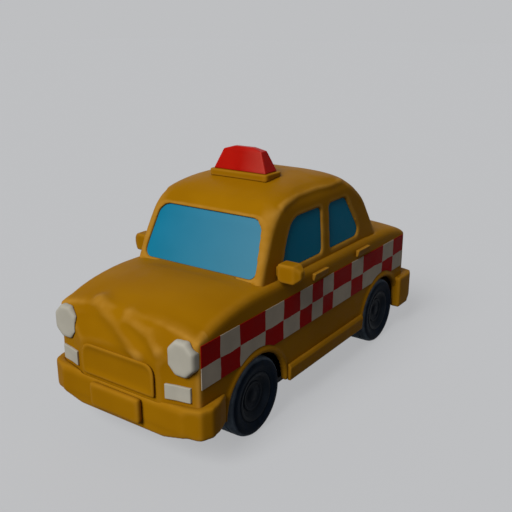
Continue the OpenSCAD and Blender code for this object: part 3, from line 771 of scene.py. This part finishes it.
front_window = [(front_edge(WINDOW_Z) + PILLAR_A, WINDOW_Z), (DOOR_Y - PILLAR_B / 2, WINDOW_Z),
                (DOOR_Y - PILLAR_B / 2, SIDE_TOP), (front_edge(SIDE_TOP) + PILLAR_A, SIDE_TOP)]
rear_side_window = [(DOOR_Y + PILLAR_B / 2, WINDOW_Z), (rear_edge(WINDOW_Z) - PILLAR_C, WINDOW_Z),
                    (rear_edge(SIDE_TOP) - PILLAR_C, SIDE_TOP), (DOOR_Y + PILLAR_B / 2, SIDE_TOP)]
foot, head = half_width(WINDOW_Z) - PILLAR_FRONT, half_width(SCREEN_TOP) - PILLAR_FRONT - TAPER
screen = [(-foot, WINDOW_Z), (foot, WINDOW_Z), (head, SCREEN_TOP), (-head, SCREEN_TOP)]
print("windscreen:", round(2 * foot, 1), "mm wide at its foot,", round(2 * head, 1), "at its head")

# %% [markdown]
# The openings are cut straight through the cabin with prisms, as sliders in the mould would do. Each
# corner of an outline gets an arc of its own radius first, because the picture's windows are rounder
# at some corners than at others.

# %% Prisms
def rounded_outline(points, radii, inset=0.0, steps=8):
    """A convex outline, drawn in by inset, with each corner turned into an arc of its own radius."""
    out = []
    n = len(points)
    middle = sum((Vector(p) for p in points), Vector((0, 0))) / n
    lines = []
    for k in range(n):
        a, b = Vector(points[k]), Vector(points[(k + 1) % n])
        normal = Vector((b.y - a.y, a.x - b.x)).normalized()
        if normal.dot(middle - a) > 0:
            normal.negate()
        lines.append((a, (b - a).normalized(), normal))
    for k, radius in enumerate(radii):
        # Both lines of a corner are moved in, and cross at the centre of its arc.
        (a, u, m), (b, v, q) = lines[k - 1], lines[k]
        a, b = a - m * (inset + radius), b - q * (inset + radius)
        centre = a + u * ((b - a).cross(v) / u.cross(v))
        start, turn = math.atan2(m.y, m.x), m.angle_signed(q)
        for s in range(steps + 1):
            angle = start - turn * s / steps
            out.append(centre + radius * Vector((math.cos(angle), math.sin(angle))))
    return out


def prism(outline, axis, low, high):
    """Pulls an outline of (across, up) points from low to high along the X or the Y axis."""
    n = len(outline)
    points = [((d, p[0], p[1]) if axis == "X" else (p[0], d, p[1])) for d in (low, high) for p in outline]
    faces = [tuple(range(n)), tuple(range(2 * n - 1, n - 1, -1))]
    faces += [(k, n + k, n + (k + 1) % n, (k + 1) % n) for k in range(n)]
    return face_out(new_piece("prism", mesh_of("prism", [[c * MM for c in p] for p in points], faces)))


# %% [markdown]
# A finished piece is shaded, gets its material, and is tied to the CAD model: the body that it rides on, and
# the nodes that it stands for. Values for a finish to read are stored on its points.

# %% Helpers for finished pieces
tally = []


def store(piece, name, values):
    """Keeps one value for each point of a piece under a name, for a finish to read."""
    kept = piece.data.attributes.new(name, "FLOAT", "POINT")
    kept.data.foreach_set("value", np.asarray(values, "f"))


def crease(piece, degrees):
    """Shades a piece smoothly, and keeps edges sharper than the angle crisp."""
    piece.data.shade_smooth()
    piece.data.set_sharp_from_angle(angle=math.radians(degrees))
    return piece


def dress(piece, stands_for, finish, body="car"):
    """Gives a finished piece its material, its body, and the CAD nodes that it stands for."""
    piece.data.materials.clear()
    piece.data.materials.append(finish)
    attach(piece, body)
    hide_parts(*([stands_for] if isinstance(stands_for, str) else stands_for))
    tally.append((piece.name, sum(len(p.vertices) - 2 for p in piece.data.polygons)))
    return piece


# %% [markdown]
# Each pane is the layer just under the cabin's skin, kept only inside its opening, so it follows the
# cabin's curve. A flat sheet would leave gaps at the pillars. The panes use the openings' outlines,
# drawn in by the fitting gap.

# %% Panes
SCREEN_R, FRONT_R, REAR_R = (2.8, 2.8, 5, 5), (2.5, 2, 2.5, 10), (2, 3, 4, 2)
RECESS, PANE_T, FIT_GAP, SHEEN_W = 0.8, 1.3, 0.15, 54
AHEAD, BEHIND, LEFT, RIGHT = (-80, 0), (10, 90), (10, 50), (-50, -10)
PANES = {
    "windscreen": (screen, SCREEN_R, "Y", AHEAD), "rear_window": (screen, SCREEN_R, "Y", BEHIND),
    "front_window_left": (front_window, FRONT_R, "X", LEFT),
    "front_window_right": (front_window, FRONT_R, "X", RIGHT),
    "rear_side_window_left": (rear_side_window, REAR_R, "X", LEFT),
    "rear_side_window_right": (rear_side_window, REAR_R, "X", RIGHT)}


def drop_leaves(piece):
    """Cuts faces into triangles, and drops pairs that lie back to back on the same three points."""
    def work(shape):
        bmesh.ops.triangulate(shape, faces=shape.faces)
        alike = {}
        for face in shape.faces:
            alike.setdefault(frozenset(v.index for v in face.verts), []).append(face)
        leaves = [face for faces in alike.values() if len(faces) > 1 for face in faces]
        bmesh.ops.delete(shape, geom=leaves, context="FACES")
    return reshape(piece, work)


for node, (outline, radii, axis, span) in PANES.items():
    pane = cabin_form(-RECESS, node + "_piece")
    cut(pane, prism(rounded_outline(outline, radii, FIT_GAP), axis, *span), "INTERSECT")
    drop_leaves(cut(pane, cabin_form(-RECESS - PANE_T)))
    if node == "windscreen":
        # Painted reflection: the windscreen grows paler towards the car's left.
        store(pane, "sheen", [min(max(0.5 + v.co.x / (SHEEN_W * MM), 0), 1) for v in pane.data.vertices])
    dress(crease(pane, degrees=30), node, pane_blue)
print("panes:", tally)

# %% [markdown]
# Two marks are left on the big mouldings. A soft ridge runs along the roof's edge, as a thumb would leave in
# clay, and the edges that get a painted highlight are found by measuring how the surface falls away round
# each point. Painting them by hand would do for one picture, but a measure finds them on every side.

# %% Helpers for ridges and painted edge highlights
def points_of(mesh):
    """Every point of a mesh, and its normal."""
    at, way = np.empty((2, len(mesh.vertices), 3), "f")
    mesh.vertices.foreach_get("co", at.ravel())
    mesh.vertices.foreach_get("normal", way.ravel())
    return at, way


def ridge(piece, line, height, width):
    """Raises a soft ridge along a line of points on a dense mesh."""
    at, way = points_of(piece.data)
    gap = np.full(len(at), np.inf)
    points = np.array(line) * MM
    for a, b in zip(points, points[1:]):
        t = np.clip((at - a) @ (b - a) / ((b - a) @ (b - a)), 0, 1)
        gap = np.minimum(gap, np.linalg.norm(at - a - t[:, None] * (b - a), axis=1))
    at += way * (height * MM * np.exp(-(gap / (width * MM)) ** 2))[:, None]
    piece.data.vertices.foreach_set("co", at.ravel())
    piece.data.update()


def mark_edges(piece, amount, rounds, flat=0.03, tight=0.22):
    """Stores how tightly a piece bulges at each point, between two bends per millimetre. Each round
    evens the bend out between a point and its neighbours."""
    at, way = points_of(piece.data)
    ends = np.empty((len(piece.data.edges), 2), "i")
    piece.data.edges.foreach_get("vertices", ends.ravel())
    step = at[ends[:, 1]] - at[ends[:, 0]]
    fall, square, count = np.zeros((3, len(at)))
    for own, sign in ((ends[:, 0], -1), (ends[:, 1], 1)):
        np.add.at(fall, own, sign * 2 * (way[own] * step).sum(1))
        np.add.at(square, own, (step ** 2).sum(1))
        np.add.at(count, own, 1)
    bend = fall / np.maximum(square, 1e-12) * MM
    for _ in range(rounds):
        total = bend.copy()
        np.add.at(total, ends[:, 0], bend[ends[:, 1]])
        np.add.at(total, ends[:, 1], bend[ends[:, 0]])
        bend = total / (1 + count)
    # This stored value is where the amber finish paints its edge highlight.
    store(piece, "edge", amount * np.clip((bend - flat) / (tight - flat), 0, 1))


# %% [markdown]
# Now the openings are cut through the cabin, and it is softened, marked for the painted edge highlight and
# dressed.

# %% The finished cabin
ROOF_EDGE = ((27.2, -24, 80.2), (26.4, -13, 82.2), (26.2, 0, 82.4), (26.6, 12, 81.7), (26.2, 21, 81.9))
THROUGH = {"X": (-60, 60), "Y": (-90, 90)}
for outline, radii, axis in ((front_window, FRONT_R, "X"), (rear_side_window, REAR_R, "X"),
                             (screen, SCREEN_R, "Y")):
    cut(cabin, prism(rounded_outline(outline, radii), axis, *THROUGH[axis]))
soften(cabin, voxel=0.55, rounds=3, triangles=180000)
for side in (1, -1):
    ridge(cabin, [(side * x, y, z) for x, y, z in ROOF_EDGE], height=0.5, width=1.3)
# Marks the cabin's tight edges for the painted highlight.
mark_edges(cabin, amount=1.0, rounds=8, flat=0.06, tight=0.14)
dress(crease(cabin, degrees=180), "cabin_shell", amber)
print("cabin:", tally[-1][1], "triangles")

# %% [markdown]
# ## Wheel arches
#
# The arches are ovals cut through both sides, round the axles that the frame gives. Round each runs a
# raised lip, swept as a half ring. A union joins the lips to the sides, and the remesh that softens the
# body rounds the seam between them, which saves a bevel along it.

# %% Arches and their lips
ARCH_L, ARCH_H = 18.2, 16.5
LIP_W, LIP_SPREAD, LIP_ROOT_X, LIP_EDGE_X, LIP_FACE_X = 1.3, 0.7, 31.1, 32.4, 32.9


def box_mm(node):
    """A CAD node's lowest and highest corners, in millimetres."""
    return [[round(c / MM, 2) for c in corner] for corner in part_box(node)]


def middle_mm(node):
    return [round((a + b) / 2, 2) for a, b in zip(*box_mm(node))]


AXLES = [middle_mm(axle)[1] for axle in ("axle_front", "axle_rear")]
AXLE_Z = middle_mm("axle_front")[2]


def arch_point(y, turn, wider=0.0):
    """A point on an arch, or on its lip, in y and z."""
    return y + (ARCH_L + wider) * math.cos(turn), AXLE_Z + (ARCH_H + wider) * math.sin(turn)


def arch_tool(y, steps=96):
    return prism([arch_point(y, 2 * math.pi * k / steps) for k in range(steps)], "X", *THROUGH["X"])


def half_ring(y, side, steps=48):
    """A lip: a bent bar from one side of the arch over to the other, bevelled towards the body side."""
    foot = LIP_W + LIP_SPREAD
    section = ((0, LIP_ROOT_X), (foot, LIP_ROOT_X), (foot, LIP_EDGE_X), (LIP_W, LIP_FACE_X), (0, LIP_FACE_X))
    start = math.asin((SILL_Z - AXLE_Z) / ARCH_H)
    points = []
    for k in range(steps + 1):
        turn = start + (math.pi - 2 * start) * k / steps
        for wider, x in section:
            a, b = arch_point(y, turn, wider)
            points.append((side * x * MM, a * MM, b * MM))
    return face_out(new_piece("lip", mesh_of("lip", points, tube_faces(steps, len(section)))))


print("axles at y", AXLES, "and z", AXLE_Z)

# %% [markdown]
# The cabin's foot needs a seat in the lower body, and the strip of nose below the bumper is cut away, because
# the bumper covers what the car needs there. Then two ridges fold the prow, where the painted edge highlight
# is also strongest.

# %% The finished lower body
SEAT_GROW, NOSE_STRIP = -0.3, (-90, -66, 8, 16.4)
PROW_Y, PROW_HIGHLIGHT, BODY_HIGHLIGHT = -74, 1.0, 0.25
PROW = (((-13, -77.3, 52.3), (-1, -81, 47.2), (9.5, -83, 40)),
        ((3, -79.7, 50.3), (13, -80.8, 47.2), (17.5, -81.8, 43.4)))


def rectangle(left, right, low, high):
    return [(left, low), (right, low), (right, high), (left, high)]


for y in AXLES:
    cut(body, arch_tool(y))
cut(body, cabin_form(SEAT_GROW))
for y in AXLES:
    for side in (1, -1):
        cut(body, half_ring(y, side), "UNION")
cut(body, prism(rectangle(*NOSE_STRIP), "X", *THROUGH["X"]))
soften(body, voxel=0.65, rounds=3, triangles=190000)
for line in PROW:
    ridge(body, line, height=1.3, width=3.2)
# The prow's edges get the full painted highlight, the rest of the body a quarter of it.
prow = np.array([v.co.y < PROW_Y * MM for v in body.data.vertices])
mark_edges(body, np.where(prow, PROW_HIGHLIGHT, BODY_HIGHLIGHT), rounds=5, flat=0.02, tight=0.14)
dress(crease(body, degrees=180), "body_shell", amber)
print("lower body:", tally[-1][1], "triangles")

# %% [markdown]
# ## Small mouldings
#
# Bumpers, mirrors, handles and the sign's foot have the right shapes in the CAD model, but with sharp
# corners. Their merged copies only need softening, with a finer voxel for a smaller piece. In the
# picture the front bumper has a chin, and the rear one reaches forward round the corners of the car,
# so blocks are added there first.

# %% Blocks for the bumpers
CHIN = ((-29, 15.2), (-20, 12.9), (20, 12.9), (29, 15.2), (29, 20), (-29, 20))
CHIN_Y, END_FRONT_Y, END_BACK_Y, END_W = (-83.9, -80.6), 69.4, 80, 4.6
end_low, end_high = box_mm("rear_bumper")
rear_end = rectangle(END_FRONT_Y, END_BACK_Y, end_low[2], end_high[2])
added = {"front_bumper": [(CHIN, "Y", *CHIN_Y)],
         "rear_bumper": [(rear_end, "X", end_high[0] - END_W, end_high[0]),
                         (rear_end, "X", end_low[0], end_low[0] + END_W)]}
print("rear bumper:", round(end_low[1] - END_FRONT_Y, 1), "mm longer at its ends")

# %% [markdown]
# One loop softens them all. Each row of the table gives a node's slot, its finish, the voxel in
# millimetres and the rounds of smoothing: few for a crisp handle, many for a grille or a plate that the
# picture shows as hardly more than a swelling.

# %% Softened copies
SOFT = {
    "front_bumper": ("body_amber", amber, 0.5, 24), "rear_bumper": ("body_amber", amber, 0.45, 10),
    "front_plate": ("body_amber", amber, 0.35, 90), "grille_panel": ("body_amber", amber, 0.25, 150),
    "sign_plinth": ("body_amber", amber, 0.3, 12), "sign_lens": ("sign_red", sign_red, 0.3, 6)}
for side in ("left", "right"):
    SOFT["mirror_" + side] = ("body_amber", amber, 0.3, 30)
    SOFT["front_handle_" + side] = ("body_amber", amber, 0.2, 8)
    SOFT["rear_handle_" + side] = ("body_amber", amber, 0.2, 8)
    SOFT["running_board_" + side] = ("body_amber", amber, 0.3, 5)
    SOFT["headlight_" + side] = ("lamp_cream", lamp_cream, 0.3, 35)
    SOFT["tail_lamp_" + side] = ("tail_red", tail_red, 0.2, 10)
HANDLE_HIGHLIGHT, SMALL_HIGHLIGHT, SIGN_HALF, SMALL_TRIANGLES, MERGE = 0.9, 0.3, 12, 40000, 0.001


def copy_of(node, name):
    """A CAD node is loose triangles, so its copy is merged before anything else is done to it."""
    piece = new_piece(name, bpy.data.meshes.new(name))
    return reshape(piece, lambda shape: bmesh.ops.remove_doubles(shape, verts=shape.verts, dist=MERGE * MM),
                   nodes[node].data)


for node, (slot, finish, voxel, rounds) in SOFT.items():
    piece = copy_of(node, node + "_piece")
    for block in added.get(node, ()):
        cut(piece, prism(*block), "UNION")
    soften(piece, voxel, rounds, SMALL_TRIANGLES)
    if finish == amber:
        # Amber pieces get the painted edge highlight, strongest on the handles.
        mark_edges(piece, HANDLE_HIGHLIGHT if "handle" in node else SMALL_HIGHLIGHT, rounds=3)
    # Painted highlight on the sign's front, paler towards the car's left.
    if node == "sign_lens":
        store(piece, "sheen", [max(-v.normal.y, 0) * min(max(v.co.x / (SIGN_HALF * MM), 0), 1)
                               for v in piece.data.vertices])
    dress(crease(piece, degrees=180), node, finish)
print("softened:", len(SOFT), "pieces")

# %% [markdown]
# The indicators lie on the curve of the nose like thin lenses. A flat block would stand out at one end
# and sink in at the other. So the body's own form is made twice, and one copy is moved forward by the
# lens's thickness. The lens is what lies within the lamp's outline, inside that copy and outside the
# other, which is set back a hair so that no gap shows.

# %% Indicators
LENS_T, LENS_SUNK, LENS_W, NOSE_SPAN = 0.9, 0.05, 9.2, (-90, -74)
lamp_low, lamp_high = box_mm("indicator_left")
for side, sign in (("left", 1), ("right", -1)):
    low, high = sorted((sign * (lamp_high[0] - LENS_W), sign * lamp_high[0]))
    lens_piece = prism(rectangle(*NOSE_SPAN, lamp_low[2], lamp_high[2]), "X", low, high)
    lens_piece.name = f"indicator_{side}_piece"
    for shift, operation in ((-LENS_T, "INTERSECT"), (LENS_SUNK, "DIFFERENCE")):
        form = body_form("nose")
        for vertex in form.data.vertices:
            vertex.co.y += shift * MM
        cut(lens_piece, form, operation)
    soften(lens_piece, voxel=0.16, rounds=5, triangles=SMALL_TRIANGLES)
    dress(crease(lens_piece, degrees=180), "indicator_" + side, lamp_cream)
print("indicators:", tally[-1][1], "triangles each")

# %% [markdown]
# ## Wheels
#
# A wheel is turned work, so its tyre and its hub are each drawn as a half section and spun round the
# axle. Both ends of an axle carry the same wheel, turned about: one form is made, and a node tree
# sets a copy on each of two points. A copy on the right side is turned by half a circle.

# %% Turning and repeating
def spin(name, section, axis, steps=96):
    """Spins a closed half section of (radius, along) points round the X or the Z axis."""
    points, rings = [], []
    for radius, along in section:
        count = 1 if radius == 0 else steps
        rings.append([len(points) + k % count for k in range(steps)])
        for k in range(count):
            turn = 2 * math.pi * k / steps
            c, q = radius * MM * math.cos(turn), radius * MM * math.sin(turn)
            points.append((along * MM, c, q) if axis == "X" else (c, q, along * MM))
    faces = []
    for ring, other in zip(rings, rings[1:] + rings[:1]):
        for k in range(steps):
            face = [ring[k - 1], ring[k], other[k], other[k - 1]]
            face = [p for i, p in enumerate(face) if p != face[i - 1]]
            if len(face) > 2:
                faces.append(face)
    return face_out(new_piece(name, mesh_of(name, points, faces)))


def repeat_rule(name, finish):
    """A tree that sets a copy of Form on each point, turned by half a circle where x is below 0."""
    r = Rule(name, ["Form"], "NodeSocketObject")
    form = r.add("GeometryNodeObjectInfo", r.size("Form"))
    turn = r.sum("MULTIPLY", r.sum("LESS_THAN", r.x, 0.0), math.pi)
    way = r.add("FunctionNodeEulerToRotation", r.add("ShaderNodeCombineXYZ", 0.0, 0.0, turn).outputs[0])
    copies = r.tree.nodes.new("GeometryNodeInstanceOnPoints")
    r.tree.links.new(r.start.outputs["Geometry"], copies.inputs["Points"])
    r.tree.links.new(form.outputs["Geometry"], copies.inputs["Instance"])
    r.tree.links.new(way.outputs[0], copies.inputs["Rotation"])
    r.close(copies.outputs[0], finish)
    return r


def at_places(places):
    return mesh_of("places", [[c * MM for c in place] for place in places])


# %% [markdown]
# The tyre has round shoulders, a bead round the hub and two shallow grooves. The hub is dished, with
# a ring and a small boss, and hides the end of the steel axle in a blind bore. A section is a list of
# radius and distance along the axle, from the outside of the wheel inwards.

# %% Tyres and hubs
TYRE = ((9.5, 5.3), (10.3, 5.75), (10.9, 5.75), (11.3, 6.05), (12.6, 6.15), (13.6, 5.95), (14.45, 5.35),
        (14.9, 4.5), (15.0, 3.7), (15.0, 2.6), (14.7, 2.45), (14.7, 1.95), (15.0, 1.8), (15.0, -1.8),
        (14.7, -1.95), (14.7, -2.45), (15.0, -2.6), (15.0, -3.7), (14.9, -4.5), (14.45, -5.35),
        (13.6, -5.95), (12.6, -6.15), (9.5, -6.15))
HUB = ((0, 4.55), (1.9, 4.5), (2.5, 4.1), (2.8, 3.85), (4.4, 3.85), (4.8, 4.25), (5.4, 4.3), (5.8, 3.9),
       (6.6, 4.0), (7.4, 4.7), (8.0, 5.4), (8.5, 5.62), (9.1, 5.6), (9.42, 5.3), (9.45, 4.6), (9.45, -6.1),
       (1.55, -6.1), (1.55, 2.3), (0, 2.3))
TREAD_R = 14.2
wheel_x = middle_mm("tyre_front_left")[0]

tyre_form = spin("tyre_form", TYRE, "X")
store(tyre_form, "tread", [math.hypot(v.co.y, v.co.z) > TREAD_R * MM for v in tyre_form.data.vertices])
hub_form = spin("hub_form", HUB, "X")
for kind, form, finish, slot in (("tyre", tyre_form, tyre_navy, "tyre_navy"),
                                 ("hub", hub_form, hub_navy, "hub_navy")):
    pair = repeat_rule(kind + "_pair", finish)
    for end, y in zip(("front", "rear"), AXLES):
        ends = at_places([(wheel_x, y, AXLE_Z), (-wheel_x, y, AXLE_Z)])
        piece = crease(pair.make(f"{end}_{kind}s_piece", ends, Form=form), degrees=40)
        dress(piece, [f"{kind}_{end}_left", f"{kind}_{end}_right"], finish, end + "_wheelset")
    bpy.data.objects.remove(form)
print("wheels:", tally[-1][1], "triangles in a pair of hubs,", wheel_x, "mm from the middle")

# %% [markdown]
# ## Base
#
# Four screws hold the base plate. They are alike, so one is turned, its cross recess is cut, and the
# same kind of tree sets a copy at each post.

# %% Screws
SCREW = ((0, 0), (1.9, 0), (2.4, 0.2), (2.5, 0.5), (2.5, 1.0), (1.3, 1.0), (1.3, 9.6), (0.9, 10.0), (0, 10.0))
POST_X, POST_Y, HEAD_Z = 16.15, (-68.0, 70.6), 12.5
ARM_L, ARM_W, ARM_DEEP, ARM_START = 1.6, 0.35, 0.6, -1
screw_form = spin("screw_form", SCREW, "Z", steps=48)
for half_x, half_y in ((ARM_L, ARM_W), (ARM_W, ARM_L)):
    cut(screw_form, prism(rectangle(-half_y, half_y, ARM_START, ARM_DEEP), "X", -half_x, half_x))
posts = at_places([(x, y, HEAD_Z) for x in (POST_X, -POST_X) for y in POST_Y])
screws = repeat_rule("screw_set", steel).make("base_screws_piece", posts, Form=screw_form)
bpy.data.objects.remove(screw_form)
dress(crease(screws, degrees=30), "base_screws", steel)
print("screws:", tally[-1][1], "triangles in four")

# %% [markdown]
# The plate, the axles and the check bands have their final shapes in the CAD model already. New meshes
# would only repeat them, so these nodes stay and get their finishes.

# %% Finishes for the CAD nodes that stay
STAY = {"check_band_left": check_print, "check_band_right": check_print, "base_plate": base_dark,
        "axle_front": steel, "axle_rear": steel}
for node, finish in STAY.items():
    nodes[node].data.materials.clear()
    nodes[node].data.materials.append(finish)
print("kept from the CAD model:", list(STAY))

# %% [markdown]
# ## Sizes
#
# Softening only takes material away at the corners, and what was added lies within the bumpers' reach, so the
# dressed car stays inside the CAD model's box. The dressed car's size is printed.

# %% Sizes and the end
low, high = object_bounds()
print("visual:", [round(s / MM, 1) for s in high - low], "mm;",
      sum(count for _, count in tally), "triangles in new pieces")
